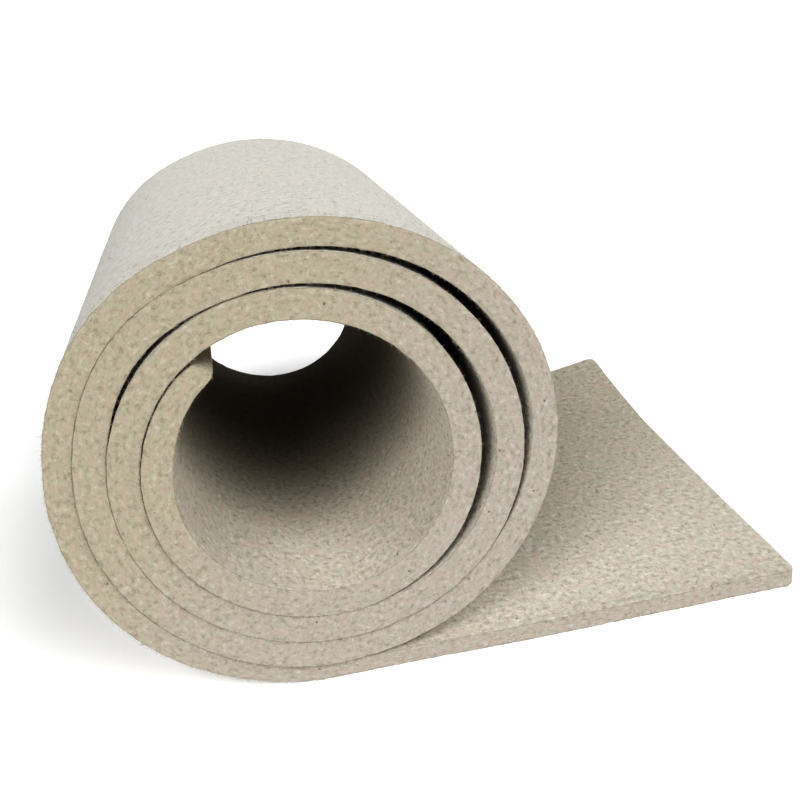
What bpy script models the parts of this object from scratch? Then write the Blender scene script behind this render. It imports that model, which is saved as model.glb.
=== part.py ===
"""A roll of thick wool felt: one strip wound about three and a third turns round an open core,
with its outer end left lying flat on the floor.

Metres. X runs along the loose end, Y along the roll's axis with the near cut face at -Y, Z is up.
The origin is on the floor, in the middle of the object's box.

Winding angles are degrees turned from the +X direction, counted anticlockwise seen from -Y:
270 is the bottom of the roll, and the strip reaches the floor at the bottom for the fourth time.
"""
import math

import bmesh
import bpy

# The strip
STRIP_WIDTH = 0.234
FELT_THICKNESS = 0.0102
EDGE_ROUNDING = 0.0012             # worn arris along every cut edge
END_CORNER_RADIUS = 0.005          # plan radius of the loose end's two corners
TIP_CORNER_RADIUS = 0.0025         # and of the inner tip's

# The winding
INNER_TIP = 127.5
FLOOR_CONTACT = 1350.0             # bottom of the fourth turn, where the strip leaves the roll
TURN = 360.0
TIP_SKEW = 4.0                     # degrees further round that the inner tip's far corner lies
TIP_SKEW_STEPS = 8                 # mesh steps over which the skewed tip runs out
TELESCOPE = 0.0020                 # how far the innermost turn stands out of the near side
TURN_CLEARANCE = 0.0002            # between turns that touch

# The outer turn and the loose end are pressed thinner than the rest
THINNING = (
    # (from angle, to angle, ends at thickness)
    (1000.0, 1110.0, 0.0092),
    (1270.0, 1370.0, 0.0065),
)

# Radius of the strip's middle through its first turn round the core
CORE_TURN = (
    # (angle, radius)
    (127.5, 0.0499),
    (187.5, 0.0517),
    (247.5, 0.0505),
    (307.5, 0.0515),
    (367.5, 0.0515),
    (427.5, 0.0550),
)

# Crescents left open between a turn and the one inside it, where the roll has sprung loose
LOOSE_GAPS = (
    # (widest at angle, opens over, closes over, width)
    (500.0, 60.0, 50.0, 0.0004),
    (722.0, 90.0, 125.0, 0.0048),
    (855.0, 30.0, 35.0, 0.0014),
    (1098.0, 60.0, 105.0, 0.0034),
)

# The loose end on the floor
LOOSE_END_REACH = 0.178            # from below the roll's axis to the near corner
END_CUT_SKEW = 0.0085              # how much further the far corner reaches
CORNER_LIFT = 0.011                # the far corner curls up off the floor
CURL_START = 0.45                  # share of the loose end, and of the width, that stays flat

# Mesh fineness
ANGLE_STEP = 7.5                   # divides a full turn, so facets of neighbouring turns line up
LOOSE_END_STEPS = 12
WIDTH_STEPS = 6
CORNER_SEGMENTS = 3
EDGE_SEGMENTS = 2
CUT_EDGE_ANGLE = 50.0              # facets that meet at more than this are a cut edge

# Natural undyed wool
FELT_COLOUR = (0.56, 0.50, 0.41, 1.0)
FELT_ROUGHNESS = 0.95


def smooth_step(value, start, end):
    """0 before start, 1 after end, with a smooth rise between."""
    share = min(max((value - start) / (end - start), 0.0), 1.0)
    return share * share * (3.0 - 2.0 * share)


def thickness_at(angle):
    thickness = FELT_THICKNESS
    for start, end, thinner in THINNING:
        thickness += (thinner - thickness) * smooth_step(angle, start, end)
    return thickness


def gap_at(angle):
    """Clearance between the strip at this angle and the turn inside it."""
    gap = TURN_CLEARANCE
    for centre, rise, fall, width in LOOSE_GAPS:
        reach = rise if angle < centre else fall
        share = min(abs(angle - centre) / reach, 1.0)
        gap += width * math.cos(share * math.pi / 2) ** 2
    return gap


def core_radius(angle):
    """Smooth curve through CORE_TURN, whose end lies on its own start."""
    last_angle, last_radius = CORE_TURN[-1]
    rows = [(last_angle - TURN, last_radius - FELT_THICKNESS - TURN_CLEARANCE)]
    rows += CORE_TURN
    rows += [(start + TURN, radius + FELT_THICKNESS + gap_at(start + TURN))
             for start, radius in CORE_TURN[:2]]
    first = max(i for i in range(1, len(rows) - 2) if i == 1 or rows[i][0] <= angle)
    before, start, end, after = [radius for _, radius in rows[first - 1:first + 3]]
    share = (angle - rows[first][0]) / (rows[first + 1][0] - rows[first][0])
    slope_in = (end - before) / 2
    slope_out = (after - start) / 2
    square, cube = share ** 2, share ** 3
    return ((2 * cube - 3 * square + 1) * start + (cube - 2 * square + share) * slope_in
            + (3 * square - 2 * cube) * end + (cube - square) * slope_out)


def radius_at(angle):
    """Radius of the strip's middle: each turn lies on the one inside it."""
    if angle <= INNER_TIP + TURN:
        return core_radius(angle)
    stack = (thickness_at(angle) + thickness_at(angle - TURN)) / 2
    return radius_at(angle - TURN) + stack + gap_at(angle)


AXIS_HEIGHT = radius_at(FLOOR_CONTACT) + thickness_at(FLOOR_CONTACT) / 2


def wound_point(angle):
    """Height and sideways place of the strip's middle on the roll."""
    turned = math.radians(angle)
    radius = radius_at(angle)
    x = radius * math.cos(turned)
    z = AXIS_HEIGHT + radius * math.sin(turned)
    return x, max(z, thickness_at(angle) / 2)


def angle_along_floor(distance):
    """The loose end thins on as if the winding went on at the roll's outer radius."""
    return FLOOR_CONTACT + math.degrees(distance / AXIS_HEIGHT)


def curl_share(share):
    """How far the felt has curled up at a share of its way to the far corner."""
    return max((share - CURL_START) / (1.0 - CURL_START), 0.0) ** 2


WOUND_STEPS = round((FLOOR_CONTACT - INNER_TIP) / ANGLE_STEP)
STATIONS = WOUND_STEPS + LOOSE_END_STEPS


def place(station, across):
    """Where a point of the flat strip lies, and how thick the felt is there.

    station counts mesh steps from the inner tip, across runs from 0 at the near edge to 1.
    """
    y = (across - 0.5) * STRIP_WIDTH
    if station <= WOUND_STEPS:
        skew = TIP_SKEW * across * max(1.0 - station / TIP_SKEW_STEPS, 0.0)
        angle = INNER_TIP + station * ANGLE_STEP + skew
        x, z = wound_point(angle)
        return x, y - TELESCOPE * (1.0 - station / WOUND_STEPS), z, thickness_at(angle)
    share = (station - WOUND_STEPS) / LOOSE_END_STEPS
    x = share * (LOOSE_END_REACH + END_CUT_SKEW * across * share)
    thickness = thickness_at(angle_along_floor(x))
    lift = CORNER_LIFT * curl_share(share) * curl_share(across)
    return x, y, thickness / 2 + lift, thickness


def wound_sheet():
    """The strip's middle surface, with its thickness as the weight of vertex group 0."""
    bm = bmesh.new()
    weights = bm.verts.layers.deform.verify()
    bmesh.ops.create_grid(bm, x_segments=STATIONS, y_segments=WIDTH_STEPS, size=0.5)
    left_side = []
    for vert in bm.verts:
        station = (vert.co.x + 0.5) * STATIONS
        x, y, z, thickness = place(station, vert.co.y + 0.5)
        vert.co = (x, y, z)
        vert[weights][0] = thickness / FELT_THICKNESS
        left_side.append(x - thickness / 2)
    corners = [vert for vert in bm.verts if len(vert.link_edges) == 2]
    tip_corners = [vert for vert in corners if vert.co.z > AXIS_HEIGHT]
    end_corners = [vert for vert in corners if vert.co.z < AXIS_HEIGHT]
    for pair, radius in ((tip_corners, TIP_CORNER_RADIUS), (end_corners, END_CORNER_RADIUS)):
        bmesh.ops.bevel(bm, geom=pair, offset=radius, segments=CORNER_SEGMENTS, profile=0.5,
                        affect='VERTICES')

    middle_x = (min(left_side) + max(vert.co.x for vert in bm.verts)) / 2
    middle_y = -TELESCOPE / 2
    bmesh.ops.translate(bm, verts=bm.verts, vec=(-middle_x, -middle_y, 0.0))
    return bm


def make_felt(collection):
    """The wound sheet, given its thickness and its worn edges."""
    bm = wound_sheet()
    mesh = bpy.data.meshes.new("felt_strip")
    bm.to_mesh(mesh)
    bm.free()
    felt = bpy.data.objects.new("felt_strip", mesh)
    collection.objects.link(felt)

    group = felt.vertex_groups.new(name="thickness")
    body = felt.modifiers.new("felt thickness", 'SOLIDIFY')
    body.thickness = FELT_THICKNESS
    body.offset = 0.0
    body.use_even_offset = True
    body.vertex_group = group.name
    edges = felt.modifiers.new("worn edges", 'BEVEL')
    edges.width = EDGE_ROUNDING
    edges.segments = EDGE_SEGMENTS
    edges.limit_method = 'ANGLE'
    edges.angle_limit = math.radians(CUT_EDGE_ANGLE)
    edges.use_clamp_overlap = True

    mesh.shade_smooth()
    mesh.set_sharp_from_angle(angle=math.radians(CUT_EDGE_ANGLE))
    return felt


def felt_material():
    material = bpy.data.materials.new("wool_felt")
    material.use_nodes = True
    shader = material.node_tree.nodes["Principled BSDF"]
    shader.inputs["Base Color"].default_value = FELT_COLOUR
    shader.inputs["Roughness"].default_value = FELT_ROUGHNESS
    shader.inputs["Metallic"].default_value = 0.0
    return material


def main():
    for old in list(bpy.data.objects):
        bpy.data.objects.remove(old, do_unlink=True)
    collection = bpy.data.collections.new("felt_roll")
    bpy.context.scene.collection.children.link(collection)
    felt = make_felt(collection)
    felt.data.materials.append(felt_material())


main()
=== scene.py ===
"""Looks for the roll of thick wool felt: the same wound strip as the CAD part, with its cut faces,
its inner and outer sides and its loose fibres.

Metres, in the frame's own axes: X along the loose end, Y along the roll with the near cut face
at -Y, Z up. Winding angles are degrees turned from +X, anticlockwise seen from -Y.
On the strip itself, "along" runs from the inner tip, "across" from the near cut face, and
"through" from the middle of the felt, with its outer side positive.
"""
import itertools
import math

import bpy
import numpy as np
from mathutils import Matrix, Vector


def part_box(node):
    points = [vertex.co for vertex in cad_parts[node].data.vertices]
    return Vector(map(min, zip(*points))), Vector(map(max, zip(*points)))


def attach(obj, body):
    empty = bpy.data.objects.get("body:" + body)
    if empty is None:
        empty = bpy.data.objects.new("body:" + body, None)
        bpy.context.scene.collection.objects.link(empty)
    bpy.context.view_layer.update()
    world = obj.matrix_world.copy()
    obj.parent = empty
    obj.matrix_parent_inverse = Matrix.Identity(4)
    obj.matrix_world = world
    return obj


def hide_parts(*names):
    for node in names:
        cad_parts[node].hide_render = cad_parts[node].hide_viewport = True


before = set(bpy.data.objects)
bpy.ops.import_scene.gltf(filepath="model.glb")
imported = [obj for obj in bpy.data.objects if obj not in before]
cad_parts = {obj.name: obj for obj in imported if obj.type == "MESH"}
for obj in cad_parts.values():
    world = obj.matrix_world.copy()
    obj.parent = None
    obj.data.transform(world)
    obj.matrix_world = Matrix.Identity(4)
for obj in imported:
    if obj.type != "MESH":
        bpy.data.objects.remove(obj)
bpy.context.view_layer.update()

# ---------------------------------------------------------------- the strip, as in the CAD part
STRIP_WIDTH = 0.234
FELT_THICKNESS = 0.0102
END_CORNER_RADIUS = 0.005          # plan radius of the loose end's two corners
TIP_CORNER_RADIUS = 0.0025         # and of the inner tip's

INNER_TIP = 127.5
FLOOR_CONTACT = 1350.0             # bottom of the fourth turn, where the strip leaves the roll
TURN = 360.0
TIP_SKEW = 4.0                     # degrees further round that the inner tip's far corner lies
TIP_SKEW_REACH = 60.0              # degrees over which the skewed tip runs out
TELESCOPE = 0.0020                 # how far the innermost turn stands out of the near side
TURN_CLEARANCE = 0.0002

THINNING = (
    # (from angle, to angle, ends at thickness)
    (1000.0, 1110.0, 0.0092),
    (1270.0, 1370.0, 0.0065),
)

CORE_TURN = (
    # (angle, radius)
    (127.5, 0.0499),
    (187.5, 0.0517),
    (247.5, 0.0505),
    (307.5, 0.0515),
    (367.5, 0.0515),
    (427.5, 0.0550),
)

LOOSE_GAPS = (
    # (widest at angle, opens over, closes over, width)
    (500.0, 60.0, 50.0, 0.0004),
    (722.0, 90.0, 125.0, 0.0048),
    (855.0, 30.0, 35.0, 0.0014),
    (1098.0, 60.0, 105.0, 0.0034),
)

LOOSE_END_REACH = 0.178
END_CUT_SKEW = 0.0085
CORNER_LIFT = 0.011
CURL_START = 0.45

# ---------------------------------------------------------------- fine shape
WINDING_STEP = 0.5                 # degrees between the worked-out points of the winding
FLOOR_POINTS = 180                 # worked-out points along the loose end
STATION_GAP = 0.00101              # between rings of the mesh, along the strip
# Where the mesh has points, measured in from either cut face
EDGE_MARKS = (0.0, 0.00035, 0.0007, 0.0022, 0.0045, 0.009, 0.020, 0.045, 0.080)
END_MARKS = 3                      # how many of those the strip's two ends have as well
# and through the felt, in shares of its thickness from its inner side
THROUGH_SHARES = (0.0, 0.035, 0.07, 0.24, 0.41, 0.59, 0.76, 0.93, 0.965, 1.0)

TIP_ROUNDING = 0.0060              # how far from the inner tip the felt's rounding starts
TIP_OUTER_DROP = 0.0009            # felt missing from the tip's outer corner
TIP_INNER_DROP = 0.0022            # and from its inner corner
TIP_THINNING = 0.0022              # felt missing from the inner side all along the tip
TIP_THINNING_REACH = 0.040         # length over which that runs out
TIP_SLANT = 0.0062                 # how much further the tip's inner side reaches than its outer
TIP_SLANT_BACK = 0.0016            # how far the outer side is cut back
TIP_SLANT_REACH = 0.018            # length over which the slant runs out

OPEN_ARRIS = 0.00045               # worn edge between a cut face and a side that stands free
TOUCHING_ARRIS = 0.00018           # and between turns that touch
OPEN_GAP = 0.0009                  # turns further apart than this stand free
FREE_SIDE = 0.010                  # gap given to a side with no turn beside it
TOUCHING_SWELL = 0.00013           # the felt swells this much into a closed gap, near a cut face
SWELL_REACH = 0.006                # how far from the cut face the swell runs out
SWELL_UNEVENNESS = 0.7             # share by which it comes and goes along the strip
SWELL_CELL = 0.035                 # length of one such change
SWELL_SEED = 11
CUT_LOOK_AND_SHADE_INNER = 0.0003            # the inner side takes the darker cut material this close to an edge, partly the worn edge's own look and partly painted shade in the gaps between turns
CUT_LOOK_AND_SHADE_OUTER = 0.0014            # and the outer side

CUT_WAVE = 0.0005                  # how unevenly the edges were cut
CUT_WAVE_CELL = 0.045              # length of one wave
CUT_WAVE_REACH = 0.012             # how far from the cut face a wave is felt
CUT_WAVE_SEED = 7
# Large odd numbers that scatter whole-number places, for noise that is the same each run
HASH_NUMBERS = (73856093, 19349663, 83492791, 668265263, 1274126177)
TUFTS = (
    # (lump size, height) of the felt's own surface
    (0.0035, 0.00013),
    (0.0014, 0.00012),
)

# ---------------------------------------------------------------- loose fibres
FIBRE_RADIUS = 0.000040            # at the root
RADIUS_RANGE = (0.7, 1.3)          # finest and coarsest, as shares of that
RADIUS_AT_BEND = 0.8               # share of it left half way along
FIBRE_ROOT_DEPTH = 0.00012         # roots start this deep in the felt
FIBRE_SHORTEST = 0.35              # share of the longest
FIBRE_RISE = (0.25, 1.0)           # how strongly fibres stand up from the felt
FIBRE_SCATTER = 0.45               # and lean any other way
FIBRE_LEAST_RISE = 0.15            # but never less than this
FIBRE_CURL = 0.7                   # how far the outer half turns off
CURL_RISE = 0.1                    # and how strongly it keeps off the felt
ARRIS_FIBRES = 0.45                # share of the cut faces' fibres that stand on an arris
ARRIS_LEAN = 1.6                   # how far those lean away from the cut face
FIBRE_FACES = (
    # points 0 to 2 are round the root, 3 to 5 round the bend, and 6 is the tip
    (0, 1, 4), (0, 4, 3), (1, 2, 5), (1, 5, 4), (2, 0, 3), (2, 3, 5),
    (3, 4, 6), (4, 5, 6), (5, 3, 6), (2, 1, 0),
)
FIBRE_POINTS = 7
NO_FIBRE_LIES_SO = (0.31, 0.47, 0.83)      # any direction that no fibre runs along exactly
# Each zone: part of the strip, from and to in shares of its length, a measure across it, fibres,
# longest fibre. The measure is the share on the near one of the two cut faces, or on a side how
# far in from the near cut face the zone reaches.
EDGE_FIBRE_ZONES = (
    ("cut", (0.0, 1.0), 1.0, 13500, 0.0019),
    ("outer", (0.0, 1.0), 0.010, 2400, 0.0026),
    ("inner", (0.0, 1.0), 0.010, 2400, 0.0026),
)
FACE_FIBRE_ZONES = (
    ("cut", (0.0, 1.0), 0.0, 5500, 0.0019),                # the far cut face
    ("outer", (0.62, 0.90), STRIP_WIDTH, 6000, 0.0016),    # the roll's outside
    ("inner", (0.0, 0.21), STRIP_WIDTH, 3500, 0.0026),     # the core
    ("inner", (0.89, 1.0), STRIP_WIDTH, 3300, 0.0016),     # the top of the loose end
)
EDGE_FIBRE_SEED = 3
FACE_FIBRE_SEED = 5

# ---------------------------------------------------------------- the felt's look
CUT, INNER_SIDE, OUTER_SIDE = range(3)     # order of the felt's materials
PAINTED_LIGHT_TINT_SPAN = (-0.21, -0.06)        # x less z, from the upper left of the roll to the lower right, over which the cut faces' painted light tint runs
PALE_FIBRE_TURNS = (18.0, 78.0, 141.0)     # degrees, from along the strip
DARK_FIBRE_TURN = 107.0
SPECK_SPACING = 0.034
SPECK_SIZE = 0.0006
SPECK_COLOUR = (0.10, 0.07, 0.045)
FIBRE_TONES = ((0.30, 0.26, 0.20), (0.56, 0.52, 0.45))
FIBRE_PATCH = 0.002                # size of the patches of paler and darker fibres

# ---------------------------------------------------------------- camera and light
EYE = Vector((-0.0182, -0.303, 0.223))   # from the roll's axis, the near cut face and the floor
TURNED = 9.07                            # degrees, from +Y towards +X
PITCHED = 21.35                          # degrees down
ROLLED = -5.94                           # degrees, clockwise seen from behind the camera
LENS = 45.0                              # millimetres, as is the sensor
SENSOR = 36.0

LIGHTS = (
    # (name, comes from, strength, spread in degrees)
    ("key_left", Vector((-0.46, -0.84, 0.70)), 1.65, 34.0),
    ("key_right", Vector((0.60, -0.82, 0.71)), 1.72, 38.0),
    ("fill_left", Vector((-0.74, -0.64, 0.32)), 0.42, 40.0),
    ("fill_right", Vector((0.64, 0.02, 0.77)), 0.44, 50.0),
)
ROOM_LIGHT = 0.055
PICTURE_GAMMA = 0.86               # deepens the shadows
FLOOR_REACH = 40.0                 # far enough that its edge never shows


def smooth_step(value, start, end):
    """0 before start, 1 after end, with a smooth rise between."""
    share = np.clip((value - start) / (end - start), 0.0, 1.0)
    return share * share * (3.0 - 2.0 * share)


def thickness_at(angle):
    thickness = FELT_THICKNESS * np.ones_like(angle)
    for start, end, thinner in THINNING:
        thickness += (thinner - thickness) * smooth_step(angle, start, end)
    return thickness


def gap_at(angle):
    """Clearance between the strip and the turn inside it."""
    gap = TURN_CLEARANCE * np.ones_like(angle)
    for centre, rise, fall, width in LOOSE_GAPS:
        reach = np.where(angle < centre, rise, fall)
        share = np.minimum(np.abs(angle - centre) / reach, 1.0)
        gap += width * np.cos(share * math.pi / 2) ** 2
    return gap


def core_radius(angle):
    """Smooth curve through CORE_TURN, whose end lies on its own start."""
    last_angle, last_radius = CORE_TURN[-1]
    rows = [(last_angle - TURN, last_radius - FELT_THICKNESS - TURN_CLEARANCE)]
    rows += CORE_TURN
    for start, radius in CORE_TURN[:2]:
        clearance = float(gap_at(np.array([start + TURN]))[0])
        rows.append((start + TURN, radius + FELT_THICKNESS + clearance))
    angles, radii = np.array(rows).T
    first = np.clip(np.searchsorted(angles, angle, side="right") - 1, 1, len(rows) - 3)
    share = (angle - angles[first]) / (angles[first + 1] - angles[first])
    start, end = radii[first], radii[first + 1]
    slope_in = (end - radii[first - 1]) / 2
    slope_out = (radii[first + 2] - start) / 2
    square, cube = share ** 2, share ** 3
    return ((2 * cube - 3 * square + 1) * start + (cube - 2 * square + share) * slope_in
            + (3 * square - 2 * cube) * end + (cube - square) * slope_out)


def wound_radii(angle):
    """Radius of the strip's middle: each turn lies on the one inside it."""
    thickness = thickness_at(angle)
    gap = gap_at(angle)
    turn = round(TURN / WINDING_STEP)
    radii = np.empty_like(angle)
    radii[:turn + 1] = core_radius(angle[:turn + 1])
    for i in range(turn + 1, len(angle)):
        radii[i] = radii[i - turn] + (thickness[i] + thickness[i - turn]) / 2 + gap[i]
    return radii


def strip_path():
    """The strip's middle line from the inner tip to the cut end."""
    steps = round((FLOOR_CONTACT - INNER_TIP) / WINDING_STEP)
    angle = INNER_TIP + WINDING_STEP * np.arange(steps + 1)
    radius = wound_radii(angle)
    thickness = thickness_at(angle)
    axis_height = radius[-1] + thickness[-1] / 2
    x = radius * np.cos(np.radians(angle))
    z = np.maximum(axis_height + radius * np.sin(np.radians(angle)), thickness / 2)

    reach = np.linspace(0.0, LOOSE_END_REACH, FLOOR_POINTS)[1:]
    flat_thickness = thickness_at(FLOOR_CONTACT + np.degrees(reach / axis_height))
    x = np.concatenate([x, reach])
    z = np.concatenate([z, flat_thickness / 2])
    thickness = np.concatenate([thickness, flat_thickness])
    along = np.concatenate([[0.0], np.cumsum(np.hypot(np.diff(x), np.diff(z)))])
    slope_x, slope_z = np.gradient(x, along), np.gradient(z, along)
    size = np.hypot(slope_x, slope_z)
    winding = np.concatenate([angle, FLOOR_CONTACT + np.degrees(reach / axis_height)])
    gap_inside = np.where(winding < INNER_TIP + TURN, FREE_SIDE, gap_at(winding))
    gap_outside = np.where(winding > FLOOR_CONTACT - TURN, FREE_SIDE, gap_at(winding + TURN))
    return {
        "along": along, "x": x, "z": z, "thickness": thickness,
        "gap_inside": gap_inside, "gap_outside": gap_outside,
        "out_x": slope_z / size, "out_z": -slope_x / size,
        "length": along[-1], "leaves_roll": along[steps],
    }


PATH = strip_path()


def on_path(name, along):
    return np.interp(along, PATH["along"], PATH[name])


def roll_place():
    """X of the roll's axis and Y of its outer turn's near cut face, from the CAD strip's box."""
    left = (PATH["x"] + PATH["out_x"] * PATH["thickness"] / 2).min()
    low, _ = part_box("felt_strip")
    return float(low[0] - left), float(low[1] + TELESCOPE)


AXIS_X, NEAR_Y = roll_place()


def curl_share(share):
    """How far the felt has curled up at a share of its way to the far corner."""
    return np.maximum((share - CURL_START) / (1.0 - CURL_START), 0.0) ** 2


def on_roll(along, across, through):
    """Places in the frame of points given on the flat strip.

    The skewed tip lies further round towards the far side. A point just before the tip, where
    along is negative, lies straight on from it.
    """
    inside_roll = np.maximum(1.0 - along / PATH["leaves_roll"], 0.0)
    y = NEAR_Y + across - TELESCOPE * inside_roll
    tip_reach = math.radians(TIP_SKEW_REACH) * CORE_TURN[0][1]
    skew = np.maximum(1.0 - along / tip_reach, 0.0) * across / STRIP_WIDTH
    along = along + math.radians(TIP_SKEW) * CORE_TURN[0][1] * skew
    beyond_tip = np.minimum(along, 0.0)
    out_x, out_z = on_path("out_x", along), on_path("out_z", along)
    x = on_path("x", along) + out_x * through - out_z * beyond_tip
    z = on_path("z", along) + out_z * through + out_x * beyond_tip
    loose = np.maximum(along - PATH["leaves_roll"], 0.0) / LOOSE_END_REACH
    share_across = across / STRIP_WIDTH
    x += END_CUT_SKEW * share_across * loose ** 2
    z += CORNER_LIFT * curl_share(loose) * curl_share(share_across)
    return np.column_stack([x + AXIS_X, y, z])


def lattice_value(cell_x, cell_y, cell_z, seed):
    """A repeatable number from -1 to 1 for each whole-number place, from its lowest 16 bits."""
    times_x, times_y, times_z, times_seed, times_mixed = HASH_NUMBERS
    mixed = (cell_x * times_x) ^ (cell_y * times_y) ^ (cell_z * times_z) ^ (seed * times_seed)
    mixed = (mixed ^ (mixed >> 13)) * times_mixed
    mixed = mixed ^ (mixed >> 16)
    return (mixed & 0xFFFF) / 32767.5 - 1.0


def smooth_noise(places, cell, seed):
    """Noise from -1 to 1 with lumps one cell across, at each row of places."""
    scaled = places / cell
    base = np.floor(scaled).astype(np.int64)
    share = scaled - base
    share = share * share * (3.0 - 2.0 * share)
    total = np.zeros(len(places))
    for corner in itertools.product((0, 1), repeat=3):
        weight = np.prod(np.where(corner, share, 1.0 - share), axis=1)
        total += weight * lattice_value(*(base + corner).T, seed)
    return total


def round_plan_corners(along, across):
    """Moves points near the strip's four corners onto rounded outlines."""
    half = np.array([PATH["length"], STRIP_WIDTH]) / 2
    centred = np.column_stack([along, across]) - half
    radius = np.where(centred[:, :1] < 0.0, TIP_CORNER_RADIUS, END_CORNER_RADIUS)
    into_corner = np.maximum(np.abs(centred) - (half - radius), 0.0) / radius
    rounded = into_corner * np.sqrt(1.0 - into_corner[:, ::-1] ** 2 / 2)
    centred += np.sign(centred) * (rounded - into_corner) * radius
    return (centred + half).T


def thin_tip(place):
    """Rounds the inner tip's two corners and thins its inner side."""
    near_tip = 1.0 - np.clip(place[:, 0] / TIP_ROUNDING, 0.0, 1.0)
    drop = 1.0 - np.sqrt(1.0 - near_tip ** 2)
    most = np.where(place[:, 2] > 0.0, TIP_OUTER_DROP, TIP_INNER_DROP)
    thinned = TIP_THINNING * (1.0 - smooth_step(place[:, 0], 0.0, TIP_THINNING_REACH))
    missing = drop * most + np.where(place[:, 2] < 0.0, thinned, 0.0)
    place[:, 2] *= 1.0 - missing / (FELT_THICKNESS / 2)


def slant_tip(place, half_thick):
    """Pulls the inner tip's inner side further along than its outer side."""
    inner_share = 0.5 - place[:, 2] / (2.0 * half_thick)
    slant = 1.0 - smooth_step(place[:, 0], 0.0, TIP_SLANT_REACH)
    place[:, 0] += (TIP_SLANT_BACK - TIP_SLANT * inner_share) * slant


def felt_surface(along, across, share_through):
    """Rounds, roughens and winds points given on the outside of the flat strip."""
    half_thick = on_path("thickness", along) / 2
    none = np.zeros_like(along)
    gap = np.where(share_through > 0.5, on_path("gap_outside", along), on_path("gap_inside", along))
    free = smooth_step(gap, TURN_CLEARANCE, OPEN_GAP)
    arris = (TOUCHING_ARRIS + (OPEN_ARRIS - TOUCHING_ARRIS) * free)[:, None]
    place = np.column_stack([along, across, (2.0 * share_through - 1.0) * half_thick])
    low = np.column_stack([none, none, -half_thick]) + arris
    high = np.column_stack([none + PATH["length"], none + STRIP_WIDTH, half_thick]) - arris
    inside = np.clip(place, low, high)
    outward = place - inside
    outward /= np.linalg.norm(outward, axis=1)[:, None]
    place = inside + outward * arris

    for layer, (cell, height) in enumerate(TUFTS):
        place += outward * (height * smooth_noise(place, cell, layer))[:, None]

    from_edge = np.minimum(place[:, 1], STRIP_WIDTH - place[:, 1])
    wave_place = np.column_stack([place[:, 0], np.round(place[:, 1] / STRIP_WIDTH), none])
    wave = smooth_noise(wave_place, CUT_WAVE_CELL, CUT_WAVE_SEED)
    place[:, 1] += CUT_WAVE * wave * (1.0 - smooth_step(from_edge, 0.0, CUT_WAVE_REACH))
    swell = TOUCHING_SWELL * (1.0 - free) * (1.0 - smooth_step(from_edge, 0.0, SWELL_REACH))
    swell *= 1.0 + SWELL_UNEVENNESS * smooth_noise(wave_place, SWELL_CELL, SWELL_SEED)
    place[:, 2] += swell * (2.0 * share_through - 1.0)

    thin_tip(place)
    place[:, 0], place[:, 1] = round_plan_corners(place[:, 0], place[:, 1])
    slant_tip(place, half_thick)
    return on_roll(*place.T)


def marks_between_edges(fine, length):
    """Marks that are close together at both edges and wider apart between."""
    fine = np.array(fine)
    return np.concatenate([fine, length - fine[::-1]])


def station_marks():
    """Marks along the strip: even, and closer together at its two ends."""
    length = PATH["length"]
    ends = EDGE_MARKS[:END_MARKS]
    steps = round((length - 2 * ends[-1]) / STATION_GAP)
    middle = np.linspace(ends[-1], length - ends[-1], steps + 1)[1:-1]
    return np.concatenate([ends, middle, length - np.array(ends[::-1])])


def quads(numbers):
    """Faces over a grid of vertex numbers, one row of four each."""
    corners = (numbers[:-1, :-1], numbers[:-1, 1:], numbers[1:, 1:], numbers[1:, :-1])
    return np.stack([corner.ravel() for corner in corners], axis=1)


def make_felt():
    """One closed mesh: a box of points on the flat strip, wound up."""
    across_marks = marks_between_edges(EDGE_MARKS, STRIP_WIDTH)
    marks = (station_marks(), across_marks, np.array(THROUGH_SHARES))
    shape = tuple(len(row) for row in marks)
    place = np.meshgrid(*(np.arange(count) for count in shape), indexing="ij")
    outside = np.zeros(shape, dtype=bool)
    for axis, count in enumerate(shape):
        outside |= (place[axis] == 0) | (place[axis] == count - 1)
    numbers = np.full(shape, -1)
    numbers[outside] = np.arange(outside.sum())
    along, across, share_through = (row[index[outside]] for row, index in zip(marks, place))

    sides = (
        # (vertex numbers, material, what U and V follow)
        (numbers[:, :, -1], OUTER_SIDE, along, across),
        (numbers[:, :, 0].T, INNER_SIDE, along, across),
        (numbers[:, 0, :], CUT, along, share_through * FELT_THICKNESS),
        (numbers[:, -1, :].T, CUT, along, STRIP_WIDTH + share_through * FELT_THICKNESS),
        (numbers[0].T, CUT, across, share_through * FELT_THICKNESS),
        (numbers[-1], CUT, across, STRIP_WIDTH + share_through * FELT_THICKNESS),
    )
    faces = [quads(grid) for grid, _, _, _ in sides]
    materials = [np.full(len(rows), side[1]) for rows, side in zip(faces, sides)]
    flat = [np.stack([side[2][rows], side[3][rows]], axis=-1) for rows, side in zip(faces, sides)]
    faces = np.concatenate(faces)
    materials = np.concatenate(materials).astype(np.int32)
    middle_across = across[faces].mean(axis=1)
    from_edge = np.minimum(middle_across, STRIP_WIDTH - middle_across)
    # Near each cut edge the sides take the darker cut material: partly the worn edge's look, partly
    # painted shade where the turns meet.
    cut_look_and_shade = np.where(materials == OUTER_SIDE, CUT_LOOK_AND_SHADE_OUTER, CUT_LOOK_AND_SHADE_INNER)
    materials[from_edge < cut_look_and_shade] = CUT
    # Near the inner tip the sides take the darker cut material too: partly the cut end's own look,
    # partly painted shade over the tip's rounded outer side.
    materials[along[faces].mean(axis=1) < TIP_ROUNDING] = CUT

    mesh = bpy.data.meshes.new("felt_roll")
    points = felt_surface(along, across, share_through)
    mesh.from_pydata(points.tolist(), [], faces.tolist())
    mesh.polygons.foreach_set("material_index", materials)
    uv = mesh.uv_layers.new(name="flat_strip")
    uv.data.foreach_set("uv", np.concatenate(flat).astype(np.float32).ravel())
    mesh.shade_smooth()
    felt = bpy.data.objects.new("felt_roll", mesh)
    bpy.context.scene.collection.objects.link(felt)
    return felt


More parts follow.
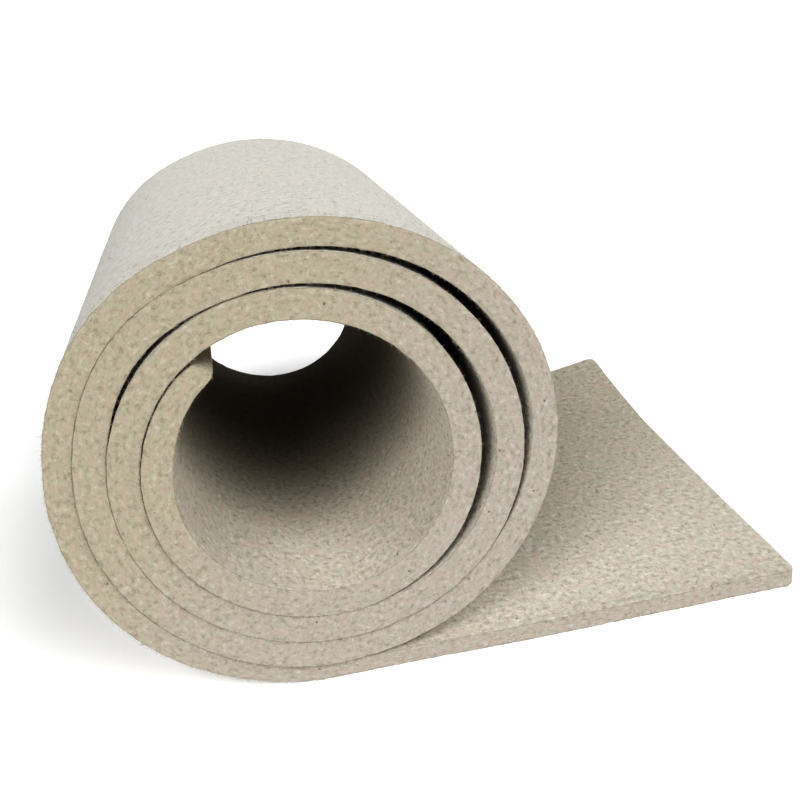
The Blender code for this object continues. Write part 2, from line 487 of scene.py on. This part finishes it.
def strip_axes(along):
    """Directions in the frame of along, across and outwards, at places along the strip."""
    out_x, out_z = on_path("out_x", along), on_path("out_z", along)
    none = np.zeros_like(along)
    return (np.column_stack([-out_z, none, out_x]), np.column_stack([none, none + 1.0, none]),
            np.column_stack([out_x, none, out_z]))


def unit(vectors):
    return vectors / np.linalg.norm(vectors, axis=1)[:, None]


def spread_roots(random, zone):
    """Roots of one zone's fibres on the flat strip, and which way the felt faces there."""
    part, (low, high), measure, count, _ = zone
    along = random.uniform(low, high, count) * PATH["length"]
    none = np.zeros(count)
    if part == "cut":
        across = np.where(random.random(count) < measure, 0.0, STRIP_WIDTH)
        middle = random.random(count)
        at_arris = random.random(count) < ARRIS_FIBRES
        share_through = np.where(at_arris, np.round(middle), middle)
        outwards = np.where(at_arris, ARRIS_LEAN * (2.0 * share_through - 1.0), 0.0)
        facing = np.column_stack([none, np.where(across == 0.0, -1.0, 1.0), outwards])
    else:
        across = random.uniform(0.0, measure, count)
        share_through = none + (1.0 if part == "outer" else 0.0)
        facing = np.column_stack([none, none, 2.0 * share_through - 1.0])
    return along, across, share_through, unit(facing)


def fibre_mesh(name, roots, bends, tips, radii):
    """Tapering three-sided fibres, each from its root past its bend to a point."""
    heading = unit(tips - roots)
    sideways = unit(np.cross(heading, unit(np.array([NO_FIBRE_LIES_SO]))))
    third = np.cross(heading, sideways)
    rings = []
    for centre, radius in ((roots, radii), (bends, RADIUS_AT_BEND * radii)):
        for turn in range(3):
            angle = turn * math.tau / 3
            spoke = math.cos(angle) * sideways + math.sin(angle) * third
            rings.append(centre + radius[:, None] * spoke)
    points = np.stack([*rings, tips], axis=1)
    faces = (np.arange(len(roots)) * FIBRE_POINTS)[:, None, None] + np.array(FIBRE_FACES)
    mesh = bpy.data.meshes.new(name)
    mesh.from_pydata(points.reshape(-1, 3).tolist(), [], faces.reshape(-1, 3).tolist())
    mesh.shade_smooth()
    fibres = bpy.data.objects.new(name, mesh)
    bpy.context.scene.collection.objects.link(fibres)
    return fibres


def zone_fibres(random, zone):
    """Roots, bends, tips and root radii of one zone's fibres, in the frame."""
    along, across, share_through, facing = spread_roots(random, zone)
    count, longest = zone[3:]
    roots = felt_surface(along, across, share_through)
    rise = facing * random.uniform(*FIBRE_RISE, (count, 1))
    lean = unit(rise + random.normal(0.0, FIBRE_SCATTER, (count, 3)))
    curl = unit(facing * CURL_RISE + random.normal(0.0, 1.0, (count, 3)))
    axes = strip_axes(along)
    lean, curl, facing = (sum(part[:, i:i + 1] * axes[i] for i in range(3))
                          for part in (lean, curl, facing))
    lean += facing * np.maximum(FIBRE_LEAST_RISE - (lean * facing).sum(axis=1), 0.0)[:, None]
    half_length = longest * random.uniform(FIBRE_SHORTEST, 1.0, (count, 1)) * 0.5
    roots = roots - facing * FIBRE_ROOT_DEPTH
    bends = roots + half_length * lean
    tips = bends + half_length * unit(lean + FIBRE_CURL * curl)
    tips[:, 2] = np.maximum(tips[:, 2], FIBRE_RADIUS)
    bends[:, 2] = np.maximum(bends[:, 2], FIBRE_RADIUS)
    return roots, bends, tips, FIBRE_RADIUS * random.uniform(*RADIUS_RANGE, count)


def make_fibres(name, zones, seed):
    """Loose fibres that stand and lie on the felt, over several zones of the strip."""
    random = np.random.default_rng(seed)
    parts = [zone_fibres(random, zone) for zone in zones]
    return fibre_mesh(name, *(np.concatenate(rows) for rows in zip(*parts)))


# ---------------------------------------------------------------- materials
def new_node(tree, kind, **settings):
    node = tree.nodes.new(kind)
    for name, value in settings.items():
        setattr(node, name, value)
    return node


def noise(tree, coordinate, size, detail, roughness):
    """Noise with lumps of the given size in metres."""
    node = new_node(tree, "ShaderNodeTexNoise", noise_dimensions="2D")
    tree.links.new(coordinate, node.inputs["Vector"])
    node.inputs["Scale"].default_value = 1.0 / size
    node.inputs["Detail"].default_value = detail
    node.inputs["Roughness"].default_value = roughness
    return node.outputs[0]


def turned(tree, coordinate, degrees, length, width):
    """Coordinate turned and stretched, so that one unit of noise is a streak of this size."""
    node = new_node(tree, "ShaderNodeMapping", vector_type="TEXTURE")
    tree.links.new(coordinate, node.inputs["Vector"])
    node.inputs["Rotation"].default_value = (0.0, 0.0, math.radians(degrees))
    node.inputs["Scale"].default_value = (length, width, 1.0)
    return node.outputs[0]


def ramp(tree, factor, stops):
    node = new_node(tree, "ShaderNodeValToRGB")
    elements = node.color_ramp.elements
    while len(elements) < len(stops):
        elements.new(0.5)
    for element, (position, colour) in zip(elements, stops):
        element.position = position
        element.color = (*colour, 1.0)
    tree.links.new(factor, node.inputs[0])
    return node.outputs[0]


def level(tree, factor, low, high):
    """Grey from 0 to 1 as factor goes from low to high."""
    node = new_node(tree, "ShaderNodeMapRange", interpolation_type="SMOOTHSTEP")
    tree.links.new(factor, node.inputs["Value"])
    node.inputs["From Min"].default_value = low
    node.inputs["From Max"].default_value = high
    return node.outputs[0]


def fill(tree, socket, value):
    """Gives a socket another node's output, a colour or a number."""
    if isinstance(value, bpy.types.NodeSocket):
        tree.links.new(value, socket)
    elif isinstance(value, tuple):
        socket.default_value = (*value, 1.0)
    else:
        socket.default_value = value


def mix(tree, factor, first, second, blend="MIX"):
    """Two colours mixed. A colour mix node's colours are its inputs 6 and 7 and its output 2."""
    node = new_node(tree, "ShaderNodeMix", data_type="RGBA", blend_type=blend)
    fill(tree, node.inputs[0], factor)
    fill(tree, node.inputs[6], first)
    fill(tree, node.inputs[7], second)
    return node.outputs[2]


def math_node(tree, operation, first, second):
    node = new_node(tree, "ShaderNodeMath", operation=operation)
    fill(tree, node.inputs[0], first)
    fill(tree, node.inputs[1], second)
    return node.outputs[0]


def share_of(tree, factor, low, high, most):
    """From 0 up to most as factor goes from low to high."""
    return math_node(tree, "MULTIPLY", level(tree, factor, low, high), most)


def add_tints(tree, flat, colour, tints):
    """Patches of a warmer and a cooler wool."""
    patch, warm, cool = tints
    blotch = noise(tree, flat, patch, 2.0, 0.5)
    colour = mix(tree, share_of(tree, blotch, 0.50, 0.68, 0.55), colour, warm)
    other = noise(tree, turned(tree, flat, 50.0, patch * 0.8, patch * 0.8), 1.0, 2.0, 0.5)
    return mix(tree, share_of(tree, other, 0.52, 0.70, 0.50), colour, cool)


def add_streaks(tree, flat, colour, fibres, light, dark):
    """Pale fibres that cross each other, and dark ones. Also returns the pale ones' height."""
    streaks = None
    length, width, strength = fibres
    for turn in PALE_FIBRE_TURNS:
        lines = noise(tree, turned(tree, flat, turn, length, width), 1.0, 1.0, 0.5)
        streaks = lines if streaks is None else math_node(tree, "MAXIMUM", streaks, lines)
    colour = mix(tree, share_of(tree, streaks, 0.66, 0.80, strength), colour, light)
    shade = noise(tree, turned(tree, flat, DARK_FIBRE_TURN, length, width * 1.2), 1.0, 1.0, 0.5)
    return mix(tree, share_of(tree, shade, 0.60, 0.78, strength * 0.8), colour, dark), streaks


def add_specks(tree, flat, colour):
    """A few small dark specks of plant matter left in the wool."""
    speck = new_node(tree, "ShaderNodeTexVoronoi", voronoi_dimensions="2D")
    tree.links.new(flat, speck.inputs["Vector"])
    speck.inputs["Scale"].default_value = 1.0 / SPECK_SPACING
    edge, core = SPECK_SIZE / SPECK_SPACING, 0.4 * SPECK_SIZE / SPECK_SPACING
    near = share_of(tree, speck.outputs["Distance"], edge, core, 0.6)
    return mix(tree, near, colour, SPECK_COLOUR)


def split_up(tree, coordinate):
    node = new_node(tree, "ShaderNodeSeparateXYZ")
    tree.links.new(coordinate, node.inputs[0])
    return node.outputs


def add_painted_light_tint(tree, colour, painted_light_tint):
    """Drifts the colour from the upper left of the roll to its lower right: a painted light tint,
    not the wool's own colour.
    """
    x, _, z = split_up(tree, new_node(tree, "ShaderNodeTexCoord").outputs["Object"])
    fall = math_node(tree, "SUBTRACT", x, z)
    return mix(tree, 1.0, colour, ramp(tree, level(tree, fall, *PAINTED_LIGHT_TINT_SPAN), painted_light_tint), "MULTIPLY")


def add_painted_far_shade(tree, flat, colour, painted_far_shade):
    """Painted shade: darker and a little browner towards the far cut face."""
    far = level(tree, split_up(tree, flat)[1], 0.0, STRIP_WIDTH)
    darker = (painted_far_shade, painted_far_shade * 0.99, painted_far_shade * 0.95)
    shaded = ramp(tree, far, ((0.05, (1.0, 1.0, 1.0)), (0.80, darker)))
    return mix(tree, 1.0, colour, shaded, "MULTIPLY")


def add_relief(tree, shader, height, bump):
    relief = new_node(tree, "ShaderNodeBump")
    relief.inputs["Strength"].default_value = 1.0
    relief.inputs["Distance"].default_value = bump
    tree.links.new(height, relief.inputs["Height"])
    tree.links.new(relief.outputs[0], shader.inputs["Normal"])


def felt_material(name, tones, tints, grain, fibres, bump, sheen, painted_far_shade=1.0, painted_light_tint=None):
    """Wool felt: matted fibres in several shades, with lumps, streaks, tints and specks, and where
    asked a painted light tint and painted shade towards the far cut face.
    """
    material = bpy.data.materials.new(name)
    material.use_nodes = True
    tree = material.node_tree
    shader = tree.nodes["Principled BSDF"]
    flat = new_node(tree, "ShaderNodeUVMap", uv_map="flat_strip").outputs[0]

    dark, middle, light = tones
    size, stretch = grain
    lumps = noise(tree, turned(tree, flat, 0.0, size * stretch, size), 1.0, 3.0, 0.6)
    colour = ramp(tree, lumps, ((0.30, dark), (0.47, middle), (0.56, middle), (0.72, light)))
    colour = add_tints(tree, flat, colour, tints)
    colour, streaks = add_streaks(tree, flat, colour, fibres, light, dark)
    colour = add_specks(tree, flat, colour)
    if painted_light_tint is not None:
        colour = add_painted_light_tint(tree, colour, painted_light_tint)
    if painted_far_shade < 1.0:
        colour = add_painted_far_shade(tree, flat, colour, painted_far_shade)
    tree.links.new(colour, shader.inputs["Base Color"])

    height = math_node(tree, "ADD", lumps, math_node(tree, "MULTIPLY", streaks, 0.5))
    add_relief(tree, shader, height, bump)
    roughness = ramp(tree, lumps, ((0.3, (0.88,) * 3), (0.7, (1.0,) * 3)))
    tree.links.new(roughness, shader.inputs["Roughness"])
    shader.inputs["Specular IOR Level"].default_value = 0.15
    shader.inputs["Sheen Weight"].default_value = sheen
    shader.inputs["Sheen Roughness"].default_value = 0.6
    return material


def felt_materials():
    """The strip's cut faces, inner side and outer side, in the order of their numbers above.

    tones are the wool's shades, dark to light; tints the size and two colours of its patches;
    grain the size of its lumps and how far they stretch along the strip; fibres their length,
    width and strength; bump the relief, in metres.
    """
    cut = felt_material(
        "felt_cut",
        tones=((0.246, 0.224, 0.181), (0.303, 0.280, 0.236), (0.354, 0.333, 0.290)),
        tints=(0.0042, (0.331, 0.279, 0.246), (0.292, 0.290, 0.226)),
        grain=(0.0017, 1.4), fibres=(0.0030, 0.00050, 0.45), bump=0.00010, sheen=0.10,
        # painted light tint: yellower at the roll's upper left, bluer at its lower right
        painted_light_tint=((0.0, (0.99, 0.99, 0.96)), (1.0, (1.0, 1.01, 1.075))))
    inner = felt_material(
        "felt_inner_side",
        tones=((0.360, 0.332, 0.287), (0.488, 0.460, 0.408), (0.585, 0.558, 0.512)),
        tints=(0.0080, (0.512, 0.450, 0.400), (0.446, 0.450, 0.394)),
        grain=(0.0026, 1.0), fibres=(0.0055, 0.00075, 0.70), bump=0.00026, sheen=0.10,
        # painted shade: darker towards the far cut face, on the loose end and deep in the core
        painted_far_shade=0.84)
    outer = felt_material(
        "felt_outer_side",
        tones=((0.42, 0.415, 0.385), (0.52, 0.51, 0.475), (0.60, 0.588, 0.558)),
        tints=(0.0090, (0.56, 0.525, 0.485), (0.515, 0.535, 0.505)),
        grain=(0.0026, 1.0), fibres=(0.0060, 0.00075, 0.45), bump=0.00015, sheen=0.12)
    return cut, inner, outer


def fibre_material():
    """Single fibres, paler and darker by patches."""
    material = bpy.data.materials.new("felt_fibres")
    material.use_nodes = True
    tree = material.node_tree
    shader = tree.nodes["Principled BSDF"]
    place = new_node(tree, "ShaderNodeTexCoord").outputs["Object"]
    patches = new_node(tree, "ShaderNodeTexNoise")
    tree.links.new(place, patches.inputs["Vector"])
    patches.inputs["Scale"].default_value = 1.0 / FIBRE_PATCH
    darker, paler = FIBRE_TONES
    colour = ramp(tree, patches.outputs[0], ((0.35, darker), (0.60, paler)))
    tree.links.new(colour, shader.inputs["Base Color"])
    shader.inputs["Roughness"].default_value = 0.7
    shader.inputs["Specular IOR Level"].default_value = 0.2
    return material


# ---------------------------------------------------------------- floor, light and camera
def make_floor():
    mesh = bpy.data.meshes.new("floor")
    far = FLOOR_REACH
    corners = [(-far, -far, 0.0), (far, -far, 0.0), (far, far, 0.0), (-far, far, 0.0)]
    mesh.from_pydata(corners, [], [(0, 1, 2, 3)])
    floor = bpy.data.objects.new("floor", mesh)
    bpy.context.scene.collection.objects.link(floor)
    material = bpy.data.materials.new("pale_floor")
    material.use_nodes = True
    shader = material.node_tree.nodes["Principled BSDF"]
    shader.inputs["Base Color"].default_value = (0.95, 0.95, 0.95, 1.0)
    shader.inputs["Roughness"].default_value = 0.9
    shader.inputs["Specular IOR Level"].default_value = 0.1
    mesh.materials.append(material)


def make_sun(name, comes_from, strength, spread):
    light = bpy.data.lights.new(name, "SUN")
    light.energy = strength
    light.angle = math.radians(spread)
    sun = bpy.data.objects.new(name, light)
    sun.rotation_mode = "QUATERNION"
    sun.rotation_quaternion = comes_from.to_track_quat("Z", "Y")
    bpy.context.scene.collection.objects.link(sun)


def make_room_light():
    """Even dim light all round, and plain white where the camera looks past the floor."""
    world = bpy.data.worlds.new("studio")
    world.use_nodes = True
    tree = world.node_tree
    tree.nodes.clear()
    seen = new_node(tree, "ShaderNodeLightPath").outputs["Is Camera Ray"]
    dim = new_node(tree, "ShaderNodeBackground")
    dim.inputs["Strength"].default_value = ROOM_LIGHT
    white = new_node(tree, "ShaderNodeBackground")
    both = new_node(tree, "ShaderNodeMixShader")
    tree.links.new(seen, both.inputs[0])
    tree.links.new(dim.outputs[0], both.inputs[1])
    tree.links.new(white.outputs[0], both.inputs[2])
    dim.inputs["Color"].default_value = (1.0, 1.0, 1.0, 1.0)
    white.inputs["Color"].default_value = (1.0, 1.0, 1.0, 1.0)
    out = new_node(tree, "ShaderNodeOutputWorld")
    tree.links.new(both.outputs[0], out.inputs[0])
    bpy.context.scene.world = world


def make_camera():
    data = bpy.data.cameras.new("camera")
    data.lens = LENS
    data.sensor_width = SENSOR
    data.clip_start = 0.01
    data.clip_end = 200.0
    camera = bpy.data.objects.new("camera", data)
    bpy.context.scene.collection.objects.link(camera)
    yaw, pitch, roll = (math.radians(angle) for angle in (TURNED, PITCHED, ROLLED))
    ahead = Vector((math.sin(yaw) * math.cos(pitch), math.cos(yaw) * math.cos(pitch),
                    -math.sin(pitch)))
    level_right = Vector((math.cos(yaw), -math.sin(yaw), 0.0))
    level_up = level_right.cross(ahead)
    right = math.cos(roll) * level_right + math.sin(roll) * level_up
    up = right.cross(ahead)
    turn = Matrix((right, up, -ahead)).transposed().to_4x4()
    place = Vector((AXIS_X, NEAR_Y, 0.0)) + EYE
    camera.matrix_world = Matrix.Translation(place) @ turn
    bpy.context.scene.camera = camera


def main():
    bpy.context.scene.view_settings.view_transform = "Standard"
    bpy.context.scene.view_settings.look = "Very High Contrast"
    bpy.context.scene.view_settings.gamma = PICTURE_GAMMA
    make_camera()
    make_floor()
    for light in LIGHTS:
        make_sun(*light)
    make_room_light()

    felt = make_felt()
    for material in felt_materials():
        felt.data.materials.append(material)
    hair = fibre_material()
    edge_fibres = make_fibres("edge_fibres", EDGE_FIBRE_ZONES, EDGE_FIBRE_SEED)
    face_fibres = make_fibres("face_fibres", FACE_FIBRE_ZONES, FACE_FIBRE_SEED)
    for fibres in (edge_fibres, face_fibres):
        fibres.data.materials.append(hair)
        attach(fibres, "root")
    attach(felt, "root")
    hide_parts("felt_strip")


main()
